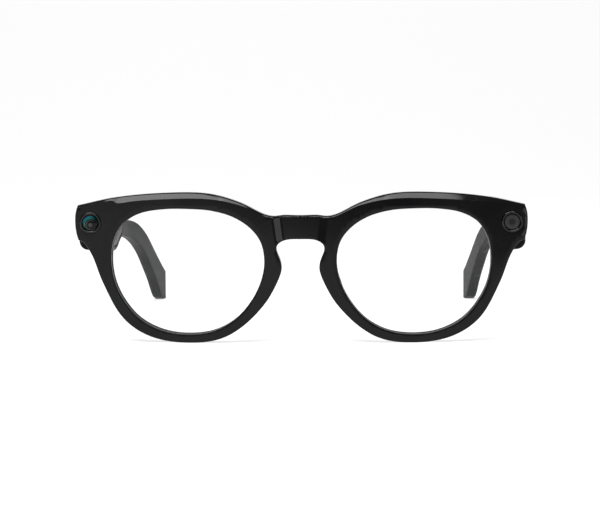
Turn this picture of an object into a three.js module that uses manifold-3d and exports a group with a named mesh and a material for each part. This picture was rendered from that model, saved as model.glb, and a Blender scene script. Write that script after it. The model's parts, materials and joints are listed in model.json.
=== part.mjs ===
// Smart glasses: a full-rim front with a camera and an indicator light in its end pieces, and two
// hinged temples that hold the electronics. Millimetres, +Z up. The glasses stand open, on the bottoms
// of the rims and on the temple tips. The front looks along -Y and the temples run back along +Y.
// Left and right are the wearer's, so the left side is +X.
import * as THREE from 'three';
import { mergeVertices } from 'three/addons/utils/BufferGeometryUtils.js';
import Module from 'manifold-3d';

const wasm = await Module();
wasm.setup();

// ---- Driving dimensions ----

const GAP = 0.3;                // clearance between touching pieces
const WRAP_RADIUS = 450;        // the front curves back around this radius
const RIM_DEPTH = 5.0;          // front to back of the rims
const RIM_BEVEL = 0.6;

const LENS_THICKNESS = 2.0;
const LENS_SETBACK = 1.5;       // from the rim's front to the lens edge
const LENS_IN_GROOVE = 0.5;     // how far the lens edge reaches into the rim
const LENS_GROOVE = 0.9;
const LENS_BULGE = 1.0;

const END_INNER_X = 61.9;       // the end piece is a block from here outwards
const END_BOTTOM_Z = 33.3;
const END_FRONT_Y = 7.0;
const END_BACK_Y = 14.0;

const HINGE_X = 64.8;
const HINGE_Y = 16.5;
const KNUCKLE_RADIUS = 1.8;
const SCREW_RADIUS = 0.7;
const LEAF_BOTTOM_Z = 34.4;
const LEAF_TOP_Z = 41.4;
const MIDDLE_KNUCKLE = { bottom: 36.6, top: 39.2 };

const EYE_X = 69.0;             // the axis of the camera, and of the indicator light
const EYE_Z = 39.2;
const BEZEL_RADIUS = 3.45;
const BEZEL_BORE = 2.75;
const BEZEL_FRONT_Y = 4.7;
const BEZEL_BACK_Y = 6.3;
const BARREL_RADIUS = 2.15;
const BARREL_FRONT_Y = 5.9;
const BARREL_BACK_Y = 9.3;

const BOARD_X = [66.5, 71.5];   // the boards behind the camera and the light
const BOARD_Y = [9.9, 10.9];
const BOARD_Z = [36.7, 41.7];
const END_COVER_X = [66.2, 72.6];
const END_COVER_Y = 13;
const END_COVER_Z = [35.4, 43];
const FRONT_LEAF_X = [63.2, 65];
const FRONT_LEAF_Y = 10.6;

const ARM_FRONT_Y = 14.4;
const ARM_END_Y = 144.4;
const ARM_INNER_X = 67.0;
const ARM_THICKNESS = 7.2;
const TIP_THICKNESS = 4.2;
const TOE_IN = 0.146;           // slope of the tips towards each other
const ARM_WALL = 1.2;
const COVER_THICKNESS = 1.2;
const COVER_SPAN = [33, 74];
const CAVITY_SPAN = [34.5, 72];
const GRILLE_SPAN = [50.3, 57.7];
const BUTTON_SPAN = [35.8, 44.2];
const BUTTON_WIDTH = [2.5, 4.7];
const SLIDER_SPAN = [36.9, 42.9];
const SLIDER_TRAVEL = 2.0;
const SLIDER_Z = [33.3, 35.1];
const BACK_DETAIL_Z = 36.1;     // height of the microphone and contacts behind the bridge
const CONTACT_X = 4.6;

// Outlines of the front's left half, as [x, z], with z from the surface that the glasses stand on.
const BROW_EDGE = [
  [0, 41.7], [5.5, 41.8], [8.6, 41.5], [11.6, 42.1], [20, 46.1], [30, 48.8], [45, 49], [61, 47.5],
  [73.3, 44.9],
];
const END_EDGE = [[73.3, 44.9], [74, 42.3], [74.2, 39.4], [73.9, 36.1], [73.2, 33.5]];
const LOWER_EDGE = [
  [73.2, 33.5], [71.4, 32.6], [68.6, 28.7], [65.1, 20], [59.4, 9.6], [54.7, 5], [48.9, 1.9], [43, 0.4],
  [36.5, 0], [30, 0.45], [24.6, 2], [19.3, 5.2], [14.1, 10], [10, 15.3], [6.25, 23.5], [6.3, 26.3],
  [7.8, 30.8], [7.2, 32.6], [4.9, 33.8], [0, 34],
];
const LENS_OPENING = [
  [36.9, 44.1], [45.2, 43.95], [52.4, 42.6], [57.9, 39.5], [61, 34.1], [62, 27.7], [60.9, 21.1],
  [57.8, 14.9], [52.6, 8.8], [45.2, 4.9], [36.7, 3.45], [28, 4.7], [21.2, 8.5], [16, 14.4],
  [12.8, 20.7], [11.8, 26.9], [12.8, 33.1], [16.2, 37.9], [21.8, 41.5], [29, 43.5],
];

// Side view of a temple, as [y, z]: each pair is one section's top and bottom.
const ARM_SECTIONS = [
  [[14.4, 44.6], [14.4, 29.6]],
  [[30, 42.6], [30, 28.2]],
  [[45, 40.7], [45, 27]],
  [[56, 39.3], [56.5, 26.1]],
  [[62, 38.5], [62, 26.6]],
  [[70, 37.5], [68.3, 28.5]],
  [[76, 36.8], [73.6, 29.5]],
  [[83, 35.9], [80.2, 29.5]],
  [[92.2, 34.9], [87.2, 29.1]],
  [[98.3, 34.2], [92.2, 28.5]],
  [[105.2, 32.7], [97.4, 27.5]],
  [[111.3, 30.5], [103.2, 25.7]],
  [[118, 27.3], [109, 23.3]],
  [[125, 22.9], [115.4, 19.7]],
  [[132, 18.5], [122.5, 14.3]],
  [[139.1, 14.2], [129, 9.1]],
  [[ARM_END_Y, 11.3], [133.3, 5]],
];
const TIP_SECTIONS = [
  [[ARM_END_Y, 6.6], [135.4, 2.9]],
  [[ARM_END_Y, 3], [137.8, 1.1]],
  [[ARM_END_Y, 0], [141.2, 0]],
];

// ---- Materials ----

function finish(color, roughness, metalness = 0) {
  return new THREE.MeshStandardMaterial({ color, roughness, metalness });
}

const glossBlack = finish(0x121214, 0.18);
const satinBlack = finish(0x1c1c1e, 0.5);
const softBlack = finish(0x202022, 0.7);
const clearLens = finish(0xeef3f4, 0.05);
const coatedGlass = finish(0x16506a, 0.08);
const smokedWindow = finish(0x3a3a3c, 0.4);
const frostedLight = finish(0xd8d8d4, 0.4);
const steel = finish(0xb4b6b8, 0.3, 1);
const gold = finish(0xc9a24a, 0.25, 1);
const circuitBoard = finish(0x163c2a, 0.5);
const amberFlex = finish(0x8a5a22, 0.45);
const cellFoil = finish(0x9a9c9f, 0.4, 0.6);

// ---- Solids: joining and cutting ----

// Shares the vertices that meet. What is already shared has an index and no normals.
function welded(geometry) {
  const copy = geometry.clone();
  if (copy.index && !copy.attributes.normal) {
    return copy;
  }
  copy.deleteAttribute('normal');
  copy.deleteAttribute('uv');
  return mergeVertices(copy, 1e-4);
}

function toSolid(geometry) {
  const shared = welded(geometry);
  return new wasm.Manifold(new wasm.Mesh({
    numProp: 3,
    vertProperties: Float32Array.from(shared.attributes.position.array),
    triVerts: Uint32Array.from(shared.index.array),
  }));
}

function toGeometry(solid) {
  const mesh = solid.getMesh();
  const geometry = new THREE.BufferGeometry();
  geometry.setAttribute('position', new THREE.BufferAttribute(mesh.vertProperties, 3));
  geometry.setIndex(new THREE.BufferAttribute(mesh.triVerts, 1));
  return geometry;
}

function cut(geometry, ...tools) {
  let solid = toSolid(geometry);
  for (const tool of tools) {
    solid = solid.subtract(toSolid(tool));
  }
  return toGeometry(solid);
}

function join(...geometries) {
  let solid = toSolid(geometries[0]);
  for (const other of geometries.slice(1)) {
    solid = solid.add(toSolid(other));
  }
  return toGeometry(solid);
}

function overlapOf(first, second) {
  return toGeometry(toSolid(first).intersect(toSolid(second)));
}

function mapPoints(geometry, move) {
  const position = geometry.attributes.position;
  const point = new THREE.Vector3();
  for (let i = 0; i < position.count; i += 1) {
    point.fromBufferAttribute(position, i);
    move(point);
    position.setXYZ(i, point.x, point.y, point.z);
  }
  return geometry;
}

function mirrored(geometry) {
  const copy = welded(geometry);
  copy.scale(-1, 1, 1);
  const index = copy.index.array;
  for (let i = 0; i < index.length; i += 3) {
    [index[i], index[i + 1]] = [index[i + 1], index[i]];
  }
  return copy;
}

// ---- Basic shapes ----

function box([x0, x1], [y0, y1], [z0, z1]) {
  const geometry = new THREE.BoxGeometry(x1 - x0, y1 - y0, z1 - z0);
  return geometry.translate((x0 + x1) / 2, (y0 + y1) / 2, (z0 + z1) / 2);
}

// The room that a box needs, with clearance on every side.
function roomFor(x, y, z) {
  return box(...[x, y, z].map(([from, to]) => [from - GAP, to + GAP]));
}

// A smooth curve through the points, with this many steps from each point to the next.
function smoothCurve(points, steps, closed = false) {
  const vectors = points.map(([a, b]) => new THREE.Vector3(a, b, 0));
  const curve = new THREE.CatmullRomCurve3(vectors, closed, 'centripetal');
  const spans = closed ? points.length : points.length - 1;
  const smooth = curve.getPoints(spans * steps).map((p) => new THREE.Vector2(p.x, p.y));
  return closed ? smooth.slice(0, -1) : smooth;
}

// The height of a curve that runs one way, at this place along it.
function heightAt(curve, place) {
  const next = curve.findIndex((p) => p.x >= place);
  const i = Math.max(next, 1);
  const t = (place - curve[i - 1].x) / (curve[i].x - curve[i - 1].x);
  return THREE.MathUtils.lerp(curve[i - 1].y, curve[i].y, t);
}

// A shape that runs anticlockwise, so that its holes may run either way.
function shapeOf(outline) {
  return new THREE.Shape(THREE.ShapeUtils.isClockWise(outline) ? [...outline].reverse() : outline);
}

// Moves each point of a closed outline square to it, outwards where the distance is positive.
function offsetOutline(outline, distance) {
  const turn = THREE.ShapeUtils.area(outline) > 0 ? 1 : -1;
  return outline.map((point, i) => {
    const before = outline[(i + outline.length - 1) % outline.length];
    const after = outline[(i + 1) % outline.length];
    const along = after.clone().sub(before).normalize();
    return new THREE.Vector2(point.x + turn * distance * along.y, point.y - turn * distance * along.x);
  });
}

// A plate whose outline lies in the X-Z plane, from y0 back to y1.
function plateXZ(shape, [y0, y1], bevel = 0) {
  const geometry = new THREE.ExtrudeGeometry(shape, {
    depth: y1 - y0 - 2 * bevel,
    bevelEnabled: bevel > 0,
    bevelThickness: bevel,
    bevelSize: bevel,
    bevelOffset: -bevel,
    bevelSegments: 1,
    curveSegments: 6,
  });
  return geometry.rotateX(Math.PI / 2).translate(0, y1 - bevel, 0);
}

// A plate whose outline lies in the Y-Z plane, from x0 out to x1.
function plateYZ(shape, [x0, x1]) {
  const geometry = new THREE.ExtrudeGeometry(shape, { depth: x1 - x0, bevelEnabled: false });
  const turn = new THREE.Matrix4().makeBasis(
    new THREE.Vector3(0, 1, 0),
    new THREE.Vector3(0, 0, 1),
    new THREE.Vector3(1, 0, 0),
  );
  return geometry.applyMatrix4(turn).translate(x0, 0, 0);
}

// A body turned around an axis along Y, from a profile of [radius, y] points.
function turned(profile, x, z, segments = 24) {
  const points = profile.map(([radius, y]) => new THREE.Vector2(radius, y));
  return new THREE.LatheGeometry(points, segments).translate(x, 0, z);
}

function disc(radius, [y0, y1], x, z) {
  return turned([[0, y0], [radius, y0], [radius, y1], [0, y1]], x, z);
}

function ring(inner, outer, [y0, y1], x, z) {
  return turned([[inner, y0], [outer, y0], [outer, y1], [inner, y1], [inner, y0]], x, z);
}

function upright(radius, [z0, z1], x, y, segments = 20) {
  const geometry = new THREE.CylinderGeometry(radius, radius, z1 - z0, segments);
  return geometry.rotateX(Math.PI / 2).translate(x, y, (z0 + z1) / 2);
}

// A closed body through rings of equally many points, with a point at each end's middle.
function loft(rings) {
  const count = rings[0].length;
  const vertices = rings.flat();
  const triangles = [];
  for (let r = 0; r + 1 < rings.length; r += 1) {
    for (let i = 0; i < count; i += 1) {
      const a = r * count + i;
      const b = r * count + ((i + 1) % count);
      triangles.push(a, b, b + count, a, b + count, a + count);
    }
  }
  for (const [ringIndex, flipped] of [[0, true], [rings.length - 1, false]]) {
    const middle = vertices.length;
    const centre = new THREE.Vector3();
    rings[ringIndex].forEach((point) => centre.addScaledVector(point, 1 / count));
    vertices.push(centre);
    for (let i = 0; i < count; i += 1) {
      const a = ringIndex * count + i;
      const b = ringIndex * count + ((i + 1) % count);
      triangles.push(...(flipped ? [b, a, middle] : [a, b, middle]));
    }
  }
  const geometry = new THREE.BufferGeometry().setFromPoints(vertices);
  geometry.setIndex(triangles);
  return geometry;
}

// A tube or wire of a few sides along a curve.
function rod(curve, radius, sides, steps) {
  const section = new THREE.Shape();
  section.absarc(0, 0, radius, 0, 2 * Math.PI);
  return new THREE.ExtrudeGeometry(section, {
    extrudePath: curve,
    steps,
    curveSegments: sides,
    bevelEnabled: false,
  });
}

// ---- The front's shape ----

function wrapAt(x) {
  return (x * x) / (2 * WRAP_RADIUS);
}

function wrap(geometry) {
  return mapPoints(geometry, (p) => {
    p.y += wrapAt(p.x);
  });
}

const mirrorHalf = (half) => half.map(([x, z]) => [-x, z]).reverse();
const browCurve = smoothCurve([...mirrorHalf(BROW_EDGE), ...BROW_EDGE.slice(1)], 3);
const endCurve = smoothCurve(END_EDGE, 1);
const lowerCurve = smoothCurve([...LOWER_EDGE, ...mirrorHalf(LOWER_EDGE).slice(1)], 2);

function frontOutline() {
  const otherEnd = endCurve.map((p) => new THREE.Vector2(-p.x, p.y)).reverse();
  return [...browCurve, ...endCurve.slice(1), ...lowerCurve.slice(1), ...otherEnd.slice(1, -1)];
}

const leftOpening = smoothCurve(LENS_OPENING, 2, true);
const acrossX = (outline) => outline.map((p) => new THREE.Vector2(-p.x, p.y));

// A strip that follows the brow, between two depths below its top edge.
function browStrip(depthFrom, depthTo, halfLength, [y0, y1]) {
  const middle = browCurve.map((p) => p.x).filter((x) => Math.abs(x) < halfLength - 1);
  const rings = [-halfLength, ...middle, halfLength].map((x) => {
    const top = heightAt(browCurve, x);
    const corners = [[y0, depthFrom], [y0, depthTo], [y1, depthTo], [y1, depthFrom]];
    return corners.map(([y, depth]) => new THREE.Vector3(x, wrapAt(x) + y, top - depth));
  });
  return loft(rings);
}

// What is cut out of an end piece: the eye's bore, and behind it the rooms for the board and the cover.
function endPockets() {
  return [
    disc(BEZEL_RADIUS + GAP, [0, BEZEL_BACK_Y + GAP], EYE_X, EYE_Z),
    disc(BARREL_RADIUS + 0.45, [BEZEL_BACK_Y, BARREL_BACK_Y + GAP], EYE_X, EYE_Z),
    roomFor(BOARD_X, [BARREL_BACK_Y + GAP, END_COVER_Y], BOARD_Z),
    roomFor(END_COVER_X, [END_COVER_Y, END_BACK_Y + 2], END_COVER_Z),
    roomFor(FRONT_LEAF_X, [FRONT_LEAF_Y, END_BACK_Y + 2], [LEAF_BOTTOM_Z, LEAF_TOP_Z]),
  ];
}

function buildFrontFrame() {
  const outline = frontOutline();
  const rims = shapeOf(outline);
  rims.holes.push(new THREE.Path(leftOpening), new THREE.Path(acrossX(leftOpening)));
  const plate = wrap(plateXZ(rims, [0, RIM_DEPTH], RIM_BEVEL));

  const thick = plateXZ(shapeOf(outline), [END_FRONT_Y, END_BACK_Y]);
  const leftEnd = overlapOf(thick, box([END_INNER_X, 80], [0, 20], [END_BOTTOM_Z, 60]));

  const groove = shapeOf(offsetOutline(leftOpening, LENS_GROOVE));
  const grooveDepth = [LENS_SETBACK - GAP, LENS_SETBACK + LENS_THICKNESS + GAP];
  const leftCuts = [wrap(plateXZ(groove, grooveDepth)), ...endPockets()];
  const backCuts = [
    browStrip(1.4, 3.6, 61.4, [3.2, RIM_DEPTH + 1]),
    box([-2.2, 2.2], [3.3, RIM_DEPTH + 1], [BACK_DETAIL_Z - 1.3, BACK_DETAIL_Z + 1.3]),
    disc(1.3, [3.7, RIM_DEPTH + 1], CONTACT_X, BACK_DETAIL_Z),
    disc(1.3, [3.7, RIM_DEPTH + 1], -CONTACT_X, BACK_DETAIL_Z),
  ];
  const whole = join(plate, leftEnd, mirrored(leftEnd));
  return cut(whole, ...leftCuts, ...leftCuts.map(mirrored), ...backCuts);
}

// A lens is a shallow dome whose edge follows the rim's curve.
function buildLens() {
  const edge = offsetOutline(leftOpening, LENS_IN_GROOVE);
  const centre = new THREE.Vector2();
  edge.forEach((p) => centre.addScaledVector(p, 1 / edge.length));
  const face = (reach, depth) => edge.map((p) => {
    const at = centre.clone().lerp(p, reach);
    const bulge = LENS_BULGE * (1 - reach * reach);
    return new THREE.Vector3(at.x, wrapAt(at.x) + depth - bulge, at.y);
  });
  const front = [0.35, 0.7, 1].map((reach) => face(reach, LENS_SETBACK));
  const back = [1, 0.7, 0.35].map((reach) => face(reach, LENS_SETBACK + LENS_THICKNESS));
  return loft([...front, ...back]);
}

// A nose pad is a rounded bar, glued behind the inner part of the rim.
function buildNosePad() {
  const top = new THREE.Vector2(8.9, 26.2);
  const bottom = new THREE.Vector2(12.6, 15);
  const radius = 2.0;
  const lean = Math.atan2(top.y - bottom.y, top.x - bottom.x);
  const pad = new THREE.Shape();
  pad.absarc(top.x, top.y, radius, lean - Math.PI / 2, lean + Math.PI / 2);
  pad.absarc(bottom.x, bottom.y, radius, lean + Math.PI / 2, lean + (3 * Math.PI) / 2);
  return wrap(plateXZ(pad, [RIM_DEPTH + GAP, RIM_DEPTH + 4.6], 0.9));
}

// ---- The front's fittings, on the left side ----

function buildBezel() {
  const lip = 0.35;
  return turned([
    [BEZEL_BORE, BEZEL_FRONT_Y + lip],
    [BEZEL_BORE + lip, BEZEL_FRONT_Y],
    [BEZEL_RADIUS - lip, BEZEL_FRONT_Y],
    [BEZEL_RADIUS, BEZEL_FRONT_Y + lip],
    [BEZEL_RADIUS, BEZEL_BACK_Y],
    [BEZEL_BORE, BEZEL_BACK_Y],
    [BEZEL_BORE, BEZEL_FRONT_Y + lip],
  ], EYE_X, EYE_Z);
}

function buildWindow(dome) {
  const radius = BEZEL_BORE - GAP;
  return turned([[0, 5.1 - dome], [radius * 0.6, 5.1 - dome * 0.6], [radius, 5.1], [radius, 5.6], [0, 5.6]],
    EYE_X, EYE_Z);
}

const barrelSpan = [BARREL_FRONT_Y, BARREL_BACK_Y];
const buildCameraBarrel = () => ring(1.5, BARREL_RADIUS, barrelSpan, EYE_X, EYE_Z);
const buildFrontElement = () => turned([[0, 6.3], [0.8, 6.5], [1.2, 6.9], [1.2, 7.6], [0, 7.6]],
  EYE_X, EYE_Z, 20);
const buildSensorModule = () => join(
  box(BOARD_X, BOARD_Y, BOARD_Z),
  box([67.2, 70.8], [9.6, 10.4], [37.4, 41]),
);
const buildLightPipe = () => disc(BARREL_RADIUS, barrelSpan, EYE_X, EYE_Z);
const buildLightBoard = () => join(
  box(BOARD_X, BOARD_Y, BOARD_Z),
  disc(1.1, [9.6, 10.4], EYE_X, EYE_Z),
);
const buildEndCover = () => box(END_COVER_X, [END_COVER_Y, END_BACK_Y], END_COVER_Z);

function buildFrontLeaf() {
  const knuckleGap = [MIDDLE_KNUCKLE.bottom - GAP, MIDDLE_KNUCKLE.top + GAP];
  const leaf = join(
    box(FRONT_LEAF_X, [FRONT_LEAF_Y, HINGE_Y], [LEAF_BOTTOM_Z, LEAF_TOP_Z]),
    upright(KNUCKLE_RADIUS, [LEAF_BOTTOM_Z, LEAF_TOP_Z], HINGE_X, HINGE_Y),
  );
  return cut(
    leaf,
    upright(KNUCKLE_RADIUS + GAP + 0.05, knuckleGap, HINGE_X, HINGE_Y),
    upright(SCREW_RADIUS + GAP, [LEAF_BOTTOM_Z - 1, LEAF_TOP_Z + 1], HINGE_X, HINGE_Y),
  );
}

function buildHingeScrew() {
  const headBottom = LEAF_TOP_Z + GAP;
  const slot = box([HINGE_X - 2, HINGE_X + 2], [HINGE_Y - 0.2, HINGE_Y + 0.2], [headBottom + 0.4, 50]);
  const screw = join(
    upright(SCREW_RADIUS, [LEAF_BOTTOM_Z + 0.2, headBottom + 0.2], HINGE_X, HINGE_Y),
    upright(1.4, [headBottom, headBottom + 0.8], HINGE_X, HINGE_Y),
  );
  return cut(screw, slot);
}

// ---- The temples' shape ----
// Arm pieces are made with x from the temple's inner face outwards, and bendToArm puts them in place.

function ease(value, from, to) {
  const t = THREE.MathUtils.clamp((value - from) / (to - from), 0, 1);
  return t * t * (3 - 2 * t);
}

function innerFaceX(y) {
  const bendStart = 82;
  const bendEnd = 98;
  const blend = (y - bendStart) ** 2 / (2 * (bendEnd - bendStart));
  const pastBend = y < bendStart ? 0 : y < bendEnd ? blend : y - (bendStart + bendEnd) / 2;
  return ARM_INNER_X + ease(y, ARM_FRONT_Y, 60) - TOE_IN * pastBend;
}

function thicknessAt(y) {
  return ARM_THICKNESS - (ARM_THICKNESS - TIP_THICKNESS) * ease(y, 40, 95);
}

function bendToArm(geometry) {
  return mapPoints(geometry, (p) => {
    p.x += innerFaceX(p.y);
  });
}

const topCurve = smoothCurve(ARM_SECTIONS.slice(0, 9).map(([top]) => top), 5);
const bottomCurve = smoothCurve(ARM_SECTIONS.slice(0, 10).map(([, bottom]) => bottom), 5);

const topZ = (y) => heightAt(topCurve, y);
const bottomZ = (y) => heightAt(bottomCurve, y);

// The rounded section of a temple: its outer corners have a larger radius than its inner ones.
function armSection(top, bottom) {
  const middleY = (top[0] + bottom[0]) / 2;
  const thickness = thicknessAt(middleY);
  const along = new THREE.Vector2(bottom[0] - top[0], bottom[1] - top[1]);
  const height = along.length();
  along.normalize();
  const inner = Math.min(0.9, height * 0.2);
  const outer = Math.min(thickness * 0.4, height * 0.35);
  const corners = [
    { x: inner, s: inner, radius: inner, from: 1.5, steps: 1 },
    { x: inner, s: height - inner, radius: inner, from: 1, steps: 1 },
    { x: thickness - outer, s: height - outer, radius: outer, from: 0.5, steps: 3 },
    { x: thickness - outer, s: outer, radius: outer, from: 0, steps: 3 },
  ];
  return corners.flatMap(({ x, s, radius, from, steps }) => {
    const points = [];
    for (let i = 0; i <= steps; i += 1) {
      const angle = (from - (0.5 * i) / steps) * Math.PI;
      const out = x + radius * Math.cos(angle);
      const down = s + radius * Math.sin(angle);
      points.push(new THREE.Vector3(out, top[0] + along.x * down, top[1] + along.y * down));
    }
    return points;
  });
}

// The temple's sections from front to tip, at this many steps along its smooth part.
function armSections(count) {
  const [tops, bottoms] = [0, 1].map((edge) => {
    const vectors = ARM_SECTIONS.map((pair) => new THREE.Vector3(...pair[edge], 0));
    const curve = new THREE.CatmullRomCurve3(vectors, false, 'centripetal');
    return curve.getPoints(count).map((p) => [p.x, p.y]);
  });
  return [...tops.map((top, i) => [top, bottoms[i]]), ...TIP_SECTIONS];
}

// A plate in the temple's side view, this far inside its top and bottom edges.
function sidePlate(inset, [y0, y1], [x0, x1]) {
  const steps = 10;
  const places = Array.from({ length: steps + 1 }, (_, i) => y0 + ((y1 - y0) * i) / steps);
  const upper = places.map((y) => new THREE.Vector2(y, topZ(y) - inset));
  const lower = places.map((y) => new THREE.Vector2(y, bottomZ(y) + inset)).reverse();
  return plateYZ(shapeOf([...upper, ...lower]), [x0, x1]);
}

// The line along the middle of the temple, between two places along it.
function wireCurve(from, to) {
  const pairs = armSections(60).filter(([top, bottom]) => {
    const y = (top[0] + bottom[0]) / 2;
    return y >= from && y <= to;
  });
  return new THREE.CatmullRomCurve3(pairs.map(([top, bottom]) => {
    const y = (top[0] + bottom[0]) / 2;
    return new THREE.Vector3(thicknessAt(y) / 2, y, (top[1] + bottom[1]) / 2);
  }));
}

function buildHousing(extraCuts) {
  const rings = armSections(30).map(([top, bottom]) => armSection(top, bottom)).reverse();
  const cavity = sidePlate(2.6, CAVITY_SPAN, [0, 1]);
  mapPoints(cavity, (p) => {
    p.x = p.x < 0.5 ? 1 : thicknessAt(p.y) - ARM_WALL;
  });
  return bendToArm(cut(
    loft(rings),
    sidePlate(1.5, [COVER_SPAN[0] - GAP, COVER_SPAN[1] + GAP], [-1, COVER_THICKNESS + GAP]),
    cavity,
    box([-2, 1.5], [ARM_FRONT_Y - 1, 30.3], [LEAF_BOTTOM_Z - GAP, LEAF_TOP_Z + 0.1]),
    box([2, 5], GRILLE_SPAN, [20, 29.2]),
    rod(wireCurve(70, 131), 1.1, 6, 18),
    ...extraCuts,
  ));
}

function buildCover(extraCuts) {
  const plate = sidePlate(1.8, COVER_SPAN, [0, COVER_THICKNESS]);
  return bendToArm(extraCuts.length ? cut(plate, ...extraCuts) : plate);
}

function buildArmLeaf() {
  const plate = bendToArm(box([0.05, 1.2], [ARM_FRONT_Y + 0.4, 30], [LEAF_BOTTOM_Z, LEAF_TOP_Z - 0.2]));
  const knuckleSpan = [MIDDLE_KNUCKLE.bottom, MIDDLE_KNUCKLE.top];
  const leaf = join(
    plate,
    box([HINGE_X, ARM_INNER_X + 0.6], [15.7, 17.9], knuckleSpan),
    upright(KNUCKLE_RADIUS, knuckleSpan, HINGE_X, HINGE_Y),
  );
  return cut(leaf, upright(SCREW_RADIUS + GAP, [30, 45], HINGE_X, HINGE_Y));
}

const buildCoreWire = () => bendToArm(rod(wireCurve(74, 129), 0.7, 6, 16));
const armBox = (x, y, z) => bendToArm(box(x, y, z));
const buildSpeaker = () => armBox([1.9, 4.4], [50.5, 60.5], [29.5, 33.2]);
const buildGrille = () => {
  const plate = box([2.3, 4.7], [50.6, 57.4], [27.4, 28.2]);
  const slots = [51.6, 53.2, 54.8, 56.4].map((y) => box([2.8, 4.2], [y - 0.35, y + 0.35], [20, 35]));
  return bendToArm(cut(plate, ...slots));
};

// The capture button follows the slope of the temple's top edge and stands a little above it.
function buildCaptureButton() {
  const [y0, y1] = BUTTON_SPAN;
  const proud = 0.5;
  const hidden = 2.3;
  const side = new THREE.Shape([
    new THREE.Vector2(y0, topZ(y0) - hidden),
    new THREE.Vector2(y1, topZ(y1) - hidden),
    new THREE.Vector2(y1, topZ(y1) + proud * 0.4),
    new THREE.Vector2(y1 - 0.6, topZ(y1 - 0.6) + proud),
    new THREE.Vector2(y0 + 0.6, topZ(y0 + 0.6) + proud),
    new THREE.Vector2(y0, topZ(y0) + proud * 0.4),
  ]);
  return bendToArm(plateYZ(side, BUTTON_WIDTH));
}

const buttonSlot = box(
  [BUTTON_WIDTH[0] - GAP, BUTTON_WIDTH[1] + GAP],
  [BUTTON_SPAN[0] - GAP, BUTTON_SPAN[1] + GAP],
  [36, 50],
);
const sliderSlot = box(
  [-2, 4],
  [SLIDER_SPAN[0] - GAP, SLIDER_SPAN[1] + SLIDER_TRAVEL + GAP],
  [SLIDER_Z[0] - GAP, SLIDER_Z[1] + GAP],
);

// ---- Assembly ----

const glasses = new THREE.Group();
const front = new THREE.Group();
const arms = { left: new THREE.Group(), right: new THREE.Group() };
arms.left.position.set(HINGE_X, HINGE_Y, 0);
arms.right.position.set(-HINGE_X, HINGE_Y, 0);
glasses.add(front, arms.left, arms.right);
glasses.position.y = -ARM_END_Y / 2;

function addPiece(group, name, geometry, material) {
  const own = geometry.clone().translate(-group.position.x, -group.position.y, 0);
  const mesh = new THREE.Mesh(own, material);
  mesh.name = name;
  group.add(mesh);
}

// Every left-hand piece is built for +X, and the right-hand one is its mirror image.
function addPair(groupOf, name, geometry, material) {
  addPiece(groupOf('left'), `left_${name}`, geometry, material);
  addPiece(groupOf('right'), `right_${name}`, mirrored(geometry), material);
}

const onFront = () => front;
const onArm = (side) => arms[side];

addPiece(front, 'front_frame', buildFrontFrame(), glossBlack);
addPair(onFront, 'lens', buildLens(), clearLens);
addPair(onFront, 'nose_pad', buildNosePad(), glossBlack);
addPair(onFront, 'endpiece_cover', buildEndCover(), satinBlack);
addPair(onFront, 'front_hinge_leaf', buildFrontLeaf(), steel);
addPair(onFront, 'hinge_screw', buildHingeScrew(), steel);
addPair(onFront, 'charging_contact', disc(1, [4, RIM_DEPTH], CONTACT_X, BACK_DETAIL_Z), gold);
addPiece(front, 'nose_microphone', box([-1.9, 1.9], [3.6, 4.9], [35.1, 37.1]), softBlack);
addPiece(front, 'brow_flex', browStrip(1.7, 3.3, 61.1, [3.5, 3.8]), amberFlex);
addPiece(front, 'brow_cover', browStrip(1.7, 3.3, 61.1, [4.1, RIM_DEPTH]), satinBlack);

addPiece(front, 'camera_bezel', mirrored(buildBezel()), glossBlack);
addPiece(front, 'camera_window', mirrored(buildWindow(0.35)), coatedGlass);
addPiece(front, 'camera_barrel', mirrored(buildCameraBarrel()), satinBlack);
addPiece(front, 'camera_front_element', mirrored(buildFrontElement()), coatedGlass);
addPiece(front, 'camera_sensor_module', mirrored(buildSensorModule()), circuitBoard);
addPiece(front, 'light_bezel', buildBezel(), glossBlack);
addPiece(front, 'light_window', buildWindow(0.1), smokedWindow);
addPiece(front, 'light_pipe', buildLightPipe(), frostedLight);
addPiece(front, 'light_board', buildLightBoard(), circuitBoard);

addPiece(arms.left, 'left_temple_housing', buildHousing([]), glossBlack);
addPiece(arms.right, 'right_temple_housing', mirrored(buildHousing([buttonSlot])), glossBlack);
addPiece(arms.left, 'left_temple_cover', buildCover([sliderSlot]), satinBlack);
addPiece(arms.right, 'right_temple_cover', mirrored(buildCover([])), satinBlack);
addPair(onArm, 'temple_hinge_leaf', buildArmLeaf(), steel);
addPair(onArm, 'core_wire', buildCoreWire(), steel);
addPair(onArm, 'speaker', buildSpeaker(), softBlack);
addPair(onArm, 'speaker_grille', buildGrille(), satinBlack);
addPair(onArm, 'temple_microphone', armBox([2.2, 4], [62, 65], [31, 33]), softBlack);

addPiece(arms.right, 'main_board', mirrored(armBox([1.9, 2.9], [36, 49.5], [30.8, 36.2])), circuitBoard);
addPiece(arms.right, 'touch_sensor', mirrored(armBox([4.9, 5.4], [36, 49.5], [31, 36])), amberFlex);
addPiece(arms.right, 'capture_switch', mirrored(armBox([3.3, 4.5], [38, 42], [34.6, 36.6])), softBlack);
addPiece(arms.right, 'capture_button', mirrored(buildCaptureButton()), glossBlack);
addPiece(arms.left, 'battery', armBox([4, 5.3], [36, 49.5], [30.8, 36.6]), cellFoil);
addPiece(arms.left, 'power_board', armBox([2.9, 3.7], [45.6, 49.5], [30.6, 36.4]), circuitBoard);
addPiece(arms.left, 'power_switch', armBox([2.2, 3.4], [38, 42], [33.2, 35.2]), softBlack);
addPiece(arms.left, 'power_slider', armBox([-0.5, 1.8], SLIDER_SPAN, SLIDER_Z), satinBlack);

export default glasses;
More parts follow.
